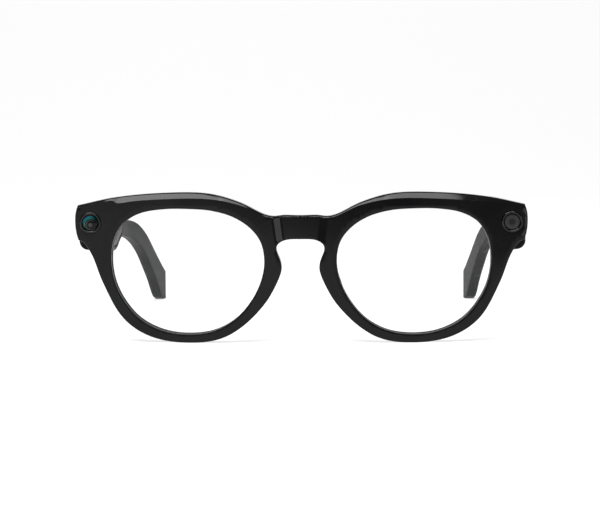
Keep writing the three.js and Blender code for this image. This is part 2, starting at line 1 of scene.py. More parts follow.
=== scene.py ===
"""Looks of the smart glasses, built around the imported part.

Shapes are worked out in millimetres in the model's own space, where y = 0 is the bridge's front surface,
z = 0 is what the glasses stand on and +X is the wearer's left. add_piece() turns them into the row frame.
Left-hand pieces are built for +X, and the right-hand ones are their mirror images.
"""

import json
import math

import bpy
import numpy as np
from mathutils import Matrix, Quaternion, Vector
from mathutils.geometry import delaunay_2d_cdt


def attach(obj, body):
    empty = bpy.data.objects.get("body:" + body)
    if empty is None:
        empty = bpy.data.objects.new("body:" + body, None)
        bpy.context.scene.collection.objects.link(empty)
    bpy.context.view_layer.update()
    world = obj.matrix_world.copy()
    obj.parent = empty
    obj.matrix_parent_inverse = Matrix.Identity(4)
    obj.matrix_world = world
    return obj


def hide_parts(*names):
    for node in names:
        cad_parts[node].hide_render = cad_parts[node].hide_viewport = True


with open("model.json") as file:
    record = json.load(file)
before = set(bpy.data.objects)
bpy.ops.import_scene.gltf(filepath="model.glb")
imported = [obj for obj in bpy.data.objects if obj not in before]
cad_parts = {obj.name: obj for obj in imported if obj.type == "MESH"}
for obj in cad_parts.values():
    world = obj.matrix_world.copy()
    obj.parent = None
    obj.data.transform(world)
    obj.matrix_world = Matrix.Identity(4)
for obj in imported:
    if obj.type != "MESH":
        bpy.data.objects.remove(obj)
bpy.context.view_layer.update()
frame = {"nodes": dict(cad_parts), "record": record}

# ---- Driving dimensions ----

MM = 0.001
DEPTH = 144.4                   # front to back; the row frame's y = 0 is halfway
WRAP_RADIUS = 450.0
RIM_DEPTH = 5.0
EDGE_ROUNDING = 0.4             # of the rims' front edges and the openings
BACK_ROUNDING = 0.8
END_BACK_Y = 14.0
END_BLOCK_X = (61.4, 62.6)      # the rim rises to the end piece between these
END_BLOCK_Z = (32.6, 34.0)

LENS_SETBACK = 1.5
LENS_THICKNESS = 2.0
LENS_BULGE = 1.0
LENS_IN_GROOVE = 0.5

HINGE_X = 64.8
HINGE_Y = 16.5
KNUCKLE_RADIUS = 1.8
SCREW_RADIUS = 0.7
LEAF_Z = (34.4, 41.4)
MIDDLE_KNUCKLE = (36.6, 39.2)   # the temple leaf's, between the front leaf's two
ARM_LEAF_END = 30.0

EYE_X = 69.0                    # the axis of the camera, and of the indicator light
EYE_Z = 39.2
BEZEL_RADIUS = 3.45
BEZEL_BORE = 2.75
BEZEL_Y = (4.7, 6.3)

END_COVER_X = (66.2, 72.6)
END_COVER_Z = (35.4, 43.0)
CONTACT_X = 4.6
FITTING_Z = 36.1                # the contacts' and the microphone's height
STRIP_BELOW_BROW = (1.7, 3.3)   # the cover strip's two edges
STRIP_HALF_LENGTH = 61.1

ARM_FRONT_Y = 14.4
ARM_INNER_X = 67.0
ARM_THICKNESS = 7.2
TIP_THICKNESS = 4.2
TOE_IN = 0.146
COVER_SPAN = (33.0, 74.0)
COVER_THICKNESS = 1.2
COVER_ROUNDING = 0.3
COVER_RECESS = 1.5              # from the temple's top and bottom edges to the cover's recess
GRILLE_SPAN = (50.6, 57.4)
BUTTON_SPAN = (35.8, 44.2)
BUTTON_WIDTH = (2.5, 4.7)
SLIDER_SPAN = (36.9, 42.9)
SLIDER_TRAVEL = 2.0
SLIDER_Z = (33.3, 35.1)
GAP = 0.3
SHARP_ANGLE = math.radians(32)  # edges steeper than this stay sharp

# Outlines of the front's left half, as (x, z).
BROW_EDGE = [
    (0, 41.7), (5.5, 41.8), (8.6, 41.5), (11.6, 42.1), (20, 46.1), (30, 48.8), (45, 49), (61, 47.5),
    (73.3, 44.9),
]
END_EDGE = [(73.3, 44.9), (74, 42.3), (74.2, 39.4), (73.9, 36.1), (73.2, 33.5)]
LOWER_EDGE = [
    (73.2, 33.5), (71.4, 32.6), (68.7, 28.6), (65.3, 19.9), (59.7, 9.4), (54.9, 4.8), (49, 1.8), (43, 0.4),
    (36.5, 0), (30, 0.45), (24.6, 2), (19.3, 5.2), (14.1, 10), (10, 15.3), (6.25, 23.5), (6.3, 26.3),
    (7.8, 31), (7.1, 32.5), (4.7, 33.65), (0, 33.9),
]
LENS_OPENING = [
    (36.9, 43.8), (45.2, 43.65), (52.4, 42.35), (57.8, 39.3), (61.1, 34.1), (62.1, 27.7), (61.3, 20.8),
    (58.5, 14.4), (53.2, 8.1), (45.5, 4.1), (36.7, 2.9), (28, 4.2), (21.1, 8.1), (15.9, 14.2),
    (12.8, 20.7), (11.8, 26.9), (13, 33.1), (16.5, 37.7), (22, 41.2), (29, 43.2),
]

# Side view of a temple, as (y, z): one section's top and bottom in each pair.
ARM_SECTIONS = [
    ((14.4, 44.6), (14.4, 29.6)), ((30, 42.6), (30, 28.2)), ((45, 40.7), (45, 27)),
    ((56, 39.3), (56.5, 26.1)), ((62, 38.5), (62, 26.6)), ((70, 37.5), (68.3, 28.5)),
    ((76, 36.8), (73.6, 29.5)), ((83, 35.9), (80.2, 29.5)), ((92.2, 34.9), (87.2, 29.1)),
    ((98.3, 34.2), (92.2, 28.5)), ((105.2, 32.7), (97.4, 27.5)), ((111.3, 30.5), (103.2, 25.7)),
    ((118, 27.3), (109, 23.3)), ((125, 22.9), (115.4, 19.7)), ((132, 18.5), (122.5, 14.3)),
    ((139.1, 14.2), (129, 9.1)), ((144.4, 11.3), (133.3, 5)),
]
TIP_SECTIONS = [((144.4, 6.6), (135.4, 2.9)), ((144.4, 3), (137.8, 1.1)), ((144.4, 0.4), (141.2, 0.2))]

# Width of the chamfer along the brow's front edge, as (x, width). The first row holds for both sides, and
# each side then ends in its own way.
BROW_CHAMFER = [(0, 0.55), (10, 0.6), (16, 0.65), (23, 1.2), (31, 1.8), (42, 2.0), (54, 1.95)]
CAMERA_SIDE_CHAMFER = [(60.2, 1.9), (61.4, 0.95), (68, 0.9), (75, 0.9)]
LIGHT_SIDE_CHAMFER = [(65, 1.6), (75, 1.3)]
CHAMFER_SLOPE = 0.8
SCOOP_DEPTH = 1.2               # how far the bridge's front lies behind the rims'
SCOOP_FLANK = 2.9


# ---- Curves and outlines ----

def smooth_curve(points, steps, closed=False):
    """A centripetal Catmull-Rom curve through the points, with this many steps between each two."""
    p = np.array(points, float)
    if closed:
        p = np.vstack([p[-1], p, p[:2]])
    else:
        p = np.vstack([2 * p[0] - p[1], p, 2 * p[-1] - p[-2]])
    curve = []
    for p0, p1, p2, p3 in zip(p, p[1:], p[2:], p[3:]):
        t1 = math.sqrt(np.linalg.norm(p1 - p0))
        t2 = t1 + math.sqrt(np.linalg.norm(p2 - p1))
        t3 = t2 + math.sqrt(np.linalg.norm(p3 - p2))
        for t in np.linspace(t1, t2, steps, endpoint=False):
            a = p0 + (p1 - p0) * t / t1
            b = p1 + (p2 - p1) * (t - t1) / (t2 - t1)
            c = p2 + (p3 - p2) * (t - t2) / (t3 - t2)
            d = a + (b - a) * t / t2
            e = b + (c - b) * (t - t1) / (t3 - t1)
            curve.append(d + (e - d) * (t - t1) / (t2 - t1))
    if not closed:
        curve.append(p[-2])
    return np.array(curve)


def evenly(curve, spacing):
    """The same open curve with evenly spaced points."""
    along = np.concatenate([[0], np.cumsum(np.linalg.norm(np.diff(curve, axis=0), axis=1))])
    count = max(2, round(along[-1] / spacing) + 1)
    places = np.linspace(0, along[-1], count)
    return np.column_stack([np.interp(places, along, curve[:, k]) for k in (0, 1)])


def mirror_half(points):
    return [(-x, z) for x, z in reversed(points)]


def flipped(outline):
    return outline * (-1, 1)


def turn_of(outline):
    """1 for an outline that runs anticlockwise, and -1 for a clockwise one."""
    x, z = outline.T
    return 1 if np.dot(x, np.roll(z, -1)) > np.dot(z, np.roll(x, -1)) else -1


def offset(outline, distance):
    """Moves a closed outline square to itself, outwards where the distance is positive."""
    along = np.roll(outline, -1, axis=0) - np.roll(outline, 1, axis=0)
    along /= np.linalg.norm(along, axis=1)[:, None]
    return outline + turn_of(outline) * distance * np.column_stack([along[:, 1], -along[:, 0]])


def inside(outline, points):
    x, z = points[:, :1], points[:, 1:]
    x0, z0 = outline.T
    x1, z1 = np.roll(outline, -1, axis=0).T
    crosses = (z0 > z) != (z1 > z)
    where = x0 + (z - z0) * (x1 - x0) / np.where(z1 == z0, 1, z1 - z0)
    return (crosses & (x < where)).sum(axis=1) % 2 == 1


def distance_to(outline, points):
    """Each point's distance to a closed outline, worked out about a thousand points at a time."""
    start = outline
    along = np.roll(outline, -1, axis=0) - start
    length = (along ** 2).sum(axis=1)
    result = []
    for part in np.array_split(points, max(1, len(points) // 1000)):
        to = part[:, None, :] - start
        t = np.clip((to * along).sum(axis=2) / length, 0, 1)
        result.append(np.linalg.norm(to - t[..., None] * along, axis=2).min(axis=1))
    return np.concatenate(result)


def rectangle(x, z, spacing=0.8):
    """A closed outline with evenly spaced points along each side."""
    corners = np.array([(x[0], z[0]), (x[1], z[0]), (x[1], z[1]), (x[0], z[1]), (x[0], z[0])], float)
    return np.vstack([evenly(corners[i:i + 2], spacing)[:-1] for i in range(4)])


def circle(x, z, radius, count=72):
    angles = np.linspace(0, 2 * math.pi, count, endpoint=False)
    return np.column_stack([x + radius * np.cos(angles), z + radius * np.sin(angles)])


def ease(value, start, end):
    t = np.clip((value - start) / (end - start), 0, 1)
    return t * t * (3 - 2 * t)


def wrap_at(x):
    return np.square(x) / (2 * WRAP_RADIUS)


# ---- Meshes ----

class Shape:
    """Vertices in millimetres, as an array, and faces as tuples of vertex numbers."""

    def __init__(self, vertices, faces):
        self.vertices = np.array(vertices, float).reshape(-1, 3)
        self.faces = [tuple(f) for f in faces]

    def __add__(self, other):
        shift = len(self.vertices)
        moved = [tuple(i + shift for i in f) for f in other.faces]
        return Shape(np.vstack([self.vertices, other.vertices]), self.faces + moved)

    def moved(self, move):
        return Shape(move(self.vertices), self.faces)

    def mirrored(self):
        return Shape(self.vertices * (-1, 1, 1), [f[::-1] for f in self.faces])

    def mesh(self, name, scale=1.0, shift=(0, 0, 0)):
        mesh = bpy.data.meshes.new(name)
        mesh.from_pydata(((self.vertices + shift) * scale).tolist(), [], self.faces)
        mesh.update()
        return mesh


def loft(rings, caps=True):
    """A body through rings of equally many points, closed with a fan at each end."""
    count = len(rings[0])
    vertices = np.vstack(rings)
    faces = []
    for r in range(len(rings) - 1):
        for i in range(count):
            a = r * count + i
            b = r * count + (i + 1) % count
            faces.append((a, b, b + count, a + count))
    if caps:
        first, last = len(vertices), len(vertices) + 1
        top = (len(rings) - 1) * count
        vertices = np.vstack([vertices, rings[0].mean(axis=0), rings[-1].mean(axis=0)])
        for i in range(count):
            j = (i + 1) % count
            faces.append((j, i, first))
            faces.append((top + i, top + j, last))
    return Shape(vertices, faces)


def turned(profile, x, z, count=96):
    """A body turned round an axis along Y, from (radius, y) points. A closed profile makes a ring."""
    angles = np.linspace(0, 2 * math.pi, count, endpoint=False)
    rings = []
    for radius, y in profile:
        rings.append(np.column_stack([x + radius * np.cos(angles), np.full(count, y),
                                      z + radius * np.sin(angles)]))
    return loft(rings, caps=profile[0] != profile[-1])


def upright(radius, z, x, y, bevel=0.0, count=64):
    """A cylinder along Z with softened edges."""
    angles = np.linspace(0, 2 * math.pi, count, endpoint=False)
    profile = [(radius - bevel, z[0]), (radius, z[0] + bevel), (radius, z[1] - bevel), (radius - bevel, z[1])]
    rings = [np.column_stack([x + r * np.cos(angles), y + r * np.sin(angles), np.full(count, h)])
             for r, h in profile]
    return loft(rings)


def block(x, y, z):
    corners = [(x[i], y[j], z[k]) for i in (0, 1) for j in (0, 1) for k in (0, 1)]
    faces = [(0, 1, 3, 2), (4, 6, 7, 5), (0, 4, 5, 1), (2, 3, 7, 6), (0, 2, 6, 4), (1, 5, 7, 3)]
    return Shape(corners, faces)


def rounded_ring(x, start, end, radii, steps=7, flats=4, inset=0.0):
    """One section: a rectangle with rounded corners. It spans x one way, and runs from start to end, which
    are (y, z), the other way. radii are those of the corners at x[0] and at x[1]."""
    start, end = np.array(start, float), np.array(end, float)
    height = np.linalg.norm(end - start)
    down = (end - start) / height
    corners = []
    low, high = inset, height - inset
    x0, x1 = x[0] + inset, x[1] - inset
    inner, outer = (max(r - inset, 0.02) for r in radii)
    for cx, s, radius, turn in [(x0 + inner, low + inner, inner, 1.5), (x0 + inner, high - inner, inner, 1),
                                (x1 - outer, high - outer, outer, 0.5), (x1 - outer, low + outer, outer, 0)]:
        angles = np.linspace(turn, turn - 0.5, steps) * math.pi
        corners.append(np.column_stack([cx + radius * np.cos(angles), s + radius * np.sin(angles)]))
    points = []
    for corner, following in zip(corners, corners[1:] + corners[:1]):
        points.append(corner)
        points.append(np.linspace(corner[-1], following[0], flats + 1)[1:-1])
    points = np.vstack(points)
    return np.column_stack([points[:, 0], start + down * points[:, 1:]])


def soft_box(x, y, z, radius):
    """A box with rounded edges all round, lofted along Y."""
    steps = 4
    rings = []
    for angle in np.linspace(math.pi / 2, 0, steps):
        inset = radius * (1 - math.cos(angle))
        place = y[0] + radius * (1 - math.sin(angle))
        rings.append(rounded_ring(x, (place, z[1]), (place, z[0]), (radius * 1.2,) * 2, steps, 2, inset))
    back = [ring * (1, -1, 1) + (0, y[0] + y[1], 0) for ring in reversed(rings)]
    return loft((rings + back)[::-1])


def combine(shape, others, operation):
    """Cuts the others out of a shape, or joins them to it."""
    objects = []
    for part in [shape, *others]:
        o = bpy.data.objects.new("work", part.mesh("work"))
        bpy.context.scene.collection.objects.link(o)
        objects.append(o)
    for other in objects[1:]:
        modifier = objects[0].modifiers.new("combine", "BOOLEAN")
        modifier.operation = operation
        modifier.solver = "EXACT"
        modifier.object = other
    done = objects[0].evaluated_get(bpy.context.evaluated_depsgraph_get()).to_mesh()
    vertices = np.array([v.co for v in done.vertices])
    faces = [tuple(p.vertices) for p in done.polygons]
    for o in objects:
        mesh = o.data
        bpy.data.objects.remove(o)
        bpy.data.meshes.remove(mesh)
    return Shape(vertices, faces)


def cut(shape, *tools):
    return combine(shape, tools, "DIFFERENCE")


def join(shape, *others):
    return combine(shape, others, "UNION")


SIDES = ("left", "right")
FRONT = ("front", "front")
ARMS = ("left_temple", "right_temple")


def shade(mesh):
    mesh.shade_smooth()
    mesh.set_sharp_from_angle(angle=SHARP_ANGLE)


def add_piece(name, shape, body, slot, replaced, finish=None):
    """Makes the piece, which moves with its body and stands for the replaced CAD nodes. It wears the material
    of its slot, or another one as its finish."""
    o = bpy.data.objects.new(name, shape.mesh(name, MM, (0, -DEPTH / 2, 0)))
    bpy.context.scene.collection.objects.link(o)
    o.data.materials.append(materials[finish or slot])
    shade(o.data)
    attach(o, body)
    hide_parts(*replaced)


def add_pair(name, shape, bodies, slot):
    """Adds a left and a right shell, in place of the left and the right CAD node of this name."""
    for side, body, own in zip(SIDES, bodies, (shape, shape.mirrored())):
        add_piece(f"{side}_{name}_shell", own, body, slot, [f"{side}_{name}"])


# ---- Camera ----

FOCAL_LENGTH = 109.0
SIDE_SHIFT = -0.0597
VIEW_DISTANCE = 590.0
VIEW_AZIMUTH = math.radians(2.22)
VIEW_ELEVATION = math.radians(4.93)
VIEW_ROLL = math.radians(-0.22)
VIEW_TARGET = Vector((0, 0, 24.85))     # what the camera stands away from
AIM = Vector((11.5, 0, 25.28))          # what it looks at


def to_row(point):
    return (Vector(point) - Vector((0, DEPTH / 2, 0))) * MM


camera_data = bpy.data.cameras.new("camera")
camera_data.sensor_width = 36
camera_data.lens = FOCAL_LENGTH
camera_data.shift_x = SIDE_SHIFT
camera_data.dof.use_dof = False
camera = bpy.data.objects.new("camera", camera_data)
bpy.context.scene.collection.objects.link(camera)
bpy.context.scene.camera = camera
back = Vector((math.sin(VIEW_AZIMUTH) * math.cos(VIEW_ELEVATION),
               -math.cos(VIEW_AZIMUTH) * math.cos(VIEW_ELEVATION), math.sin(VIEW_ELEVATION)))
camera.location = to_row(VIEW_TARGET + back * VIEW_DISTANCE)
look = (to_row(AIM) - camera.location).to_track_quat("-Z", "Y")
camera.rotation_mode = "QUATERNION"
camera.rotation_quaternion = look @ Quaternion((0, 0, 1), VIEW_ROLL)


# ---- Materials ----

materials = {}


class Nodes:
    """Builds one Principled material from a few procedural nodes. Scales are per metre."""

    def __init__(self, name, color, roughness, metallic=0.0, specular=0.5, **inputs):
        self.material = bpy.data.materials.new(name)
        self.material.use_nodes = True
        self.tree = self.material.node_tree
        self.shader = self.tree.nodes["Principled BSDF"]
        self.set("Base Color", (*color, 1))
        self.set("Roughness", roughness)
        self.set("Metallic", metallic)
        self.set("Specular IOR Level", specular)
        for socket, value in inputs.items():
            self.set(socket.replace("_", " "), value)
        self.place = self.tree.nodes.new("ShaderNodeTexCoord").outputs["Object"]
        materials[name] = self.material

    def set(self, socket, value):
        self.shader.inputs[socket].default_value = value

    def node(self, kind, **inputs):
        """Adds a node. Each input is a link or a value, and i0 and i1 are the unnamed inputs by number."""
        made = self.tree.nodes.new(kind)
        for socket, value in inputs.items():
            target = made.inputs[{"i0": 0, "i1": 1}.get(socket, socket.replace("_", " "))]
            if isinstance(value, bpy.types.NodeSocket):
                self.tree.links.new(value, target)
            else:
                target.default_value = value
        return made

    def vector_math(self, operation, **inputs):
        made = self.node("ShaderNodeVectorMath", **inputs)
        made.operation = operation
        return made

    def link(self, output, socket):
        self.tree.links.new(output, self.shader.inputs[socket])

    def noise(self, scale, detail=3.0, stretch=(1, 1, 1)):
        place = self.place
        if stretch != (1, 1, 1):
            place = self.node("ShaderNodeMapping", Vector=self.place, Scale=stretch).outputs["Vector"]
        return self.node("ShaderNodeTexNoise", Vector=place, Scale=scale, Detail=detail).outputs["Fac"]

    def spread(self, value, low, high, start=0.3, end=0.7):
        """Maps a texture's usual range to low and high."""
        made = self.node("ShaderNodeMapRange", Value=value, From_Min=start, From_Max=end, To_Min=low,
                         To_Max=high)
        return made.outputs["Result"]

    def uneven_roughness(self, scale, low, high, stretch=(1, 1, 1)):
        self.link(self.spread(self.noise(scale, stretch=stretch), low, high), "Roughness")

    def mottled(self, scale, dark, light):
        ramp = self.node("ShaderNodeValToRGB", Fac=self.noise(scale))
        ramp.color_ramp.elements[0].position = 0.35
        ramp.color_ramp.elements[1].position = 0.65
        ramp.color_ramp.elements[0].color = (*dark, 1)
        ramp.color_ramp.elements[1].color = (*light, 1)
        self.link(ramp.outputs["Color"], "Base Color")

    def rings(self, centre, bands):
        """Colours by the distance from an axis along Y at (x, z), as (distance, colour or grey) pairs."""
        x, z = centre
        flat = self.node("ShaderNodeMapping", Vector=self.place, Location=(-x * MM, 0, -z * MM),
                         Scale=(1, 0, 1))
        away = self.vector_math("LENGTH", i0=flat.outputs["Vector"])
        reach = bands[-1][0]
        share = self.spread(away.outputs["Value"], 0, 1, 0, reach * MM)
        ramp = self.node("ShaderNodeValToRGB", Fac=share)
        stops = ramp.color_ramp.elements
        for _ in bands[2:]:
            stops.new(0.5)
        for stop, (distance, color) in zip(stops, bands):
            stop.position = distance / reach
            stop.color = (*color, 1) if isinstance(color, tuple) else (color, color, color, 1)
        self.link(ramp.outputs["Color"], "Base Color")

    def fade(self, share):
        """Darkens the colour by a value from 0, which is black, to 1."""
        color = self.shader.inputs["Base Color"].links[0].from_socket
        made = self.vector_math("MULTIPLY", i0=color, i1=share)
        self.link(made.outputs["Vector"], "Base Color")

    def bump(self, height, depth):
        """Raises the surface by up to depth, in metres, where the height is 1."""
        made = self.node("ShaderNodeBump", Height=height, Distance=depth, Strength=1.0)
        self.link(made.outputs["Normal"], "Normal")


def make_materials():
    gloss = Nodes("gloss_black", (0.004, 0.004, 0.0045), 0.1, specular=0.16)
    gloss.mottled(60, (0.003, 0.003, 0.0035), (0.005, 0.005, 0.0055))
    gloss.uneven_roughness(500, 0.07, 0.13)
    gloss.bump(gloss.noise(160, 1), 1.5e-6)

    arm = Nodes("arm_black", (0.009, 0.009, 0.0095), 0.45, specular=0.05)
    arm.mottled(60, (0.008, 0.008, 0.0085), (0.01, 0.01, 0.0105))
    arm.uneven_roughness(700, 0.4, 0.5)
    arm.bump(arm.noise(2500, 4), 4e-6)

    satin = Nodes("satin_black", (0.013, 0.013, 0.0135), 0.4, specular=0.15)
    satin.uneven_roughness(900, 0.35, 0.45)
    satin.bump(satin.noise(6000, 5), 8e-6)

    soft = Nodes("soft_black", (0.014, 0.014, 0.015), 0.7)
    soft.uneven_roughness(900, 0.62, 0.78)
    soft.bump(soft.noise(5000, 5), 1.5e-5)

    lens = Nodes("clear_lens", (0.5, 0.515, 0.515), 0.03, Alpha=0.025, IOR=1.5)
    lens.uneven_roughness(120, 0.015, 0.05)

    window = Nodes("smoked_window", (0.03, 0.03, 0.032), 0.3, specular=0.15)
    window.rings((EYE_X, EYE_Z), [(0, 0.008), (0.85, 0.01), (1.25, 0.026), (2.2, 0.03), (2.45, 0.012)])
    window.uneven_roughness(1500, 0.25, 0.36)

    ring = Nodes("ring_black", (0.003, 0.003, 0.0035), 0.1, specular=0.4)
    ring.uneven_roughness(1500, 0.07, 0.13)
    ring.bump(ring.noise(1800, 2), 1e-6)

    steel = Nodes("steel", (0.62, 0.63, 0.64), 0.28, metallic=1.0)
    steel.uneven_roughness(1200, 0.2, 0.38, stretch=(1, 1, 12))
    steel.bump(steel.noise(3000, 3, (1, 1, 10)), 4e-6)

    gold = Nodes("gold", (0.83, 0.6, 0.24), 0.22, metallic=1.0)
    gold.uneven_roughness(3000, 0.16, 0.3)
    gold.bump(gold.noise(4000), 3e-6)

    board = Nodes("circuit_board", (0.01, 0.05, 0.025), 0.45)
    board.mottled(1800, (0.006, 0.035, 0.018), (0.02, 0.075, 0.035))
    board.bump(board.noise(2600, 1), 2e-5)

    flex = Nodes("amber_flex", (0.3, 0.13, 0.02), 0.35)
    flex.mottled(900, (0.2, 0.08, 0.012), (0.36, 0.17, 0.03))
    flex.bump(flex.noise(1500, 1, (8, 1, 1)), 1e-5)

    foil = Nodes("cell_foil", (0.5, 0.5, 0.51), 0.35, metallic=0.8)
    foil.uneven_roughness(700, 0.28, 0.48)
    foil.bump(foil.noise(900, 3), 2e-5)

    frosted = Nodes("frosted_light", (0.75, 0.75, 0.72), 0.45)
    frosted.uneven_roughness(2000, 0.4, 0.6)
    frosted.bump(frosted.noise(5000), 6e-6)

    glass = Nodes("coated_glass", (0.004, 0.008, 0.012), 0.05, specular=0.15)
    dark, grey = (0.002, 0.003, 0.004), (0.06, 0.06, 0.057)
    green_reflection, teal_reflection, blue_reflection = (0.02, 0.13, 0.09), (0.012, 0.12, 0.15), (0.004, 0.03, 0.06)
    # The green, teal and blue bands are a painted reflection of the lights in the lens's coating, round a
    # centre set off the axis.
    glass.rings((-EYE_X + 0.15, EYE_Z - 0.75), [
        (0, dark), (0.5, grey), (0.75, dark), (1.35, dark), (1.55, grey), (1.75, dark), (1.9, dark),
        (2.15, green_reflection), (2.45, blue_reflection), (2.75, teal_reflection), (3.0, blue_reflection), (3.15, dark)])
    # All the colours fade towards +X, so that the painted reflection shows mostly on the window's -X side.
    reflection_side_x = glass.node("ShaderNodeSeparateXYZ", Vector=glass.place).outputs["X"]
    glass.fade(glass.spread(reflection_side_x, 1, 0.1, (-EYE_X - 0.2) * MM, (-EYE_X + 1.6) * MM))
    glass.uneven_roughness(800, 0.03, 0.07)


make_materials()


# ---- The front ----

brow = evenly(smooth_curve([*mirror_half(BROW_EDGE), *BROW_EDGE[1:]], 24), 0.5)
ends = evenly(smooth_curve(END_EDGE, 24), 0.5)
lower = evenly(smooth_curve([*LOWER_EDGE, *mirror_half(LOWER_EDGE)[1:]], 24), 0.5)
outline = np.vstack([brow, ends[1:], lower[1:], flipped(ends)[::-1][1:-1]])
opening = smooth_curve(LENS_OPENING, 14, closed=True)
openings = [opening, flipped(opening)]


def round_off(distance, radius):
    """How far a rounded edge falls away at this distance from it."""
    inward = np.clip(radius - distance, 0, radius)
    return radius - np.sqrt(radius ** 2 - inward ** 2)


def brow_z(x):
    """Height of the brow's top edge."""
    return np.interp(x, brow[:, 0], brow[:, 1])


def chamfer_width(x):
    """The camera's side, at -x, ends in a step, and the light's side tapers."""
    camera_side, light_side = (smooth_curve(BROW_CHAMFER + end, 12).T
                               for end in (CAMERA_SIDE_CHAMFER, LIGHT_SIDE_CHAMFER))
    return np.where(x < 0, np.interp(-x, *camera_side), np.interp(x, *light_side))


def scoop_depth(x, z):
    """How far the bridge is scooped out. The scoop widens upwards and fades out below."""
    half_width = 8.3 + 0.13 * (z - 34)
    flank = np.clip((half_width - np.abs(x)) / SCOOP_FLANK, 0, 1)
    return SCOOP_DEPTH * (0.6 * flank + 0.4 * ease(flank, 0, 1)) * ease(z, 31, 34)


def front_depth(points):
    """y of the front surface, with its chamfer, scoop and rounded edges."""
    x, z = points.T
    below = brow_z(x) - z
    chamfer = np.clip(chamfer_width(x) - below, 0, None) * CHAMFER_SLOPE
    edge = round_off(distance_to(outline, points), EDGE_ROUNDING)
    for hole in openings:
        edge = np.maximum(edge, round_off(distance_to(hole, points), EDGE_ROUNDING))
    return wrap_at(x) + chamfer + scoop_depth(x, z) + edge


def back_depth(points):
    """y of the back surface, which rises to the end pieces."""
    x, z = points.T
    rise = ease(np.abs(x), *END_BLOCK_X) * ease(z, *END_BLOCK_Z)
    edge = round_off(distance_to(outline, points), BACK_ROUNDING)
    for hole in openings:
        edge = np.maximum(edge, round_off(distance_to(hole, points), EDGE_ROUNDING))
    rim = wrap_at(x) + RIM_DEPTH
    return rim + (END_BACK_Y - rim) * rise - edge


def edge_rows(loops, radius, count=5):
    """Rows of points inside a rounded edge, closer together where it is steeper."""
    rows = []
    for loop, inward in loops:
        for angle in np.linspace(0, math.pi / 2, count + 1)[1:]:
            distance = radius * (1 - math.cos(angle))
            row = offset(loop, inward * distance)
            rows.append(row[np.abs(distance_to(loop, row) - distance) < 0.03])
    return np.vstack(rows)


def on_front(points):
    return inside(outline, points) & ~inside(openings[0], points) & ~inside(openings[1], points)


def grid(x, z, step):
    across, up = np.meshgrid(np.arange(x[0], x[1], step), np.arange(z[0], z[1], step))
    across[::2] += step / 2
    return np.column_stack([across.ravel(), up.ravel()])


def clear_of(points, others, least):
    """The points that keep at least this far from all of the others, which are sorted into cells."""
    cells = {tuple(c) for c in np.floor(others / least).astype(int)}
    keep = []
    for point in np.floor(points / least).astype(int):
        near = ((point[0] + i, point[1] + j) in cells for i in (-1, 0, 1) for j in (-1, 0, 1))
        keep.append(not any(near))
    return points[np.array(keep)]


def face_sheet(depth_at, features, pockets, radius):
    """One side of the front as triangles, with its depth at each point. features are rows of points to keep,
    and pockets are (outline, floor) pairs that are cut straight in, where floor gives y at given points.
    The first vertices are those of the outline and of the two openings."""
    loops = [outline, *openings]
    fixed = np.vstack(loops)
    pocket_walls = [offset(wall, -0.02) for wall, _ in pockets]
    rows = edge_rows([(outline, -1), (openings[0], 1), (openings[1], 1)], radius)
    extra = np.vstack([rows, *features])
    walls = np.vstack([wall for wall, _ in pockets])
    extra = clear_of(extra[on_front(extra)], walls, 0.12)
    kept = np.vstack([fixed, walls, *pocket_walls, extra])
    fill = grid((-75, 75), (0, 50), 1.0)
    points = np.vstack([kept, clear_of(fill[on_front(fill)], kept, 0.45)])

    depths = depth_at(points)
    start = len(fixed) + len(walls)
    for (wall, floor), inner in zip(pockets, pocket_walls):
        depths[start:start + len(inner)] = floor(inner)
        start += len(inner)
        within = np.nonzero(inside(inner, points))[0]
        depths[within] = floor(points[within])

    edges = []
    start = 0
    for loop in [*loops, *[wall for wall, _ in pockets], *pocket_walls]:
        edges += [(start + i, start + (i + 1) % len(loop)) for i in range(len(loop))]
        start += len(loop)
    flat = [Vector(p) for p in points]
    _, _, triangles, sources, _, _ = delaunay_2d_cdt(flat, edges, [], 0, 1e-7)
    source = [s[0] for s in sources]
    triangles = np.array([[source[i] for i in t] for t in triangles])
    real = on_front(points[triangles].mean(axis=1))
    solid = np.column_stack([points[:, 0], depths, points[:, 1]])
    return Shape(solid, triangles[real].tolist())


def between(first, second, outward):
    """Quads that join two loops of equally many vertex numbers."""
    count = len(first)
    faces = []
    for i in range(count):
        j = (i + 1) % count
        quad = (first[i], first[j], second[j], second[i])
        faces.append(quad if outward else quad[::-1])
    return faces


def flat_floor(level):
    return lambda points: np.full(len(points), level)


def wrapped_floor(level):
    return lambda points: wrap_at(points[:, 0]) + level


def brow_strip_outline(near, far, half_length):
    """The outline of a strip between two depths below the brow's top edge."""
    x = np.linspace(-half_length, half_length, 160)
    upper = np.column_stack([x, brow_z(x) - near])
    under = np.column_stack([x, brow_z(x) - far])[::-1]
    return np.vstack([upper, under])


def both_sides(shapes):
    """Each outline, followed by its mirror image."""
    return [s for shape in shapes for s in (shape, flipped(shape))]


def build_front_sheet():
    """The front surface, with the bores for the camera and the light."""
    bores = both_sides([circle(EYE_X, EYE_Z, BEZEL_RADIUS + GAP * 0.6)])
    bore_edges = both_sides([circle(EYE_X, EYE_Z, BEZEL_RADIUS + reach) for reach in (0.5, 0.9, 1.5)])
    x = brow[:, 0]
    chamfer_edge = np.column_stack([x, brow_z(x) - chamfer_width(x)])
    chamfer_middle = np.column_stack([x, brow_z(x) - chamfer_width(x) * 0.5])
    bridge = grid((-10.5, 10.5), (30, 42), 0.35)
    return face_sheet(front_depth, [chamfer_edge, chamfer_middle, bridge, *bore_edges],
                      [(bore, flat_floor(BEZEL_Y[1] + GAP)) for bore in bores], EDGE_ROUNDING)


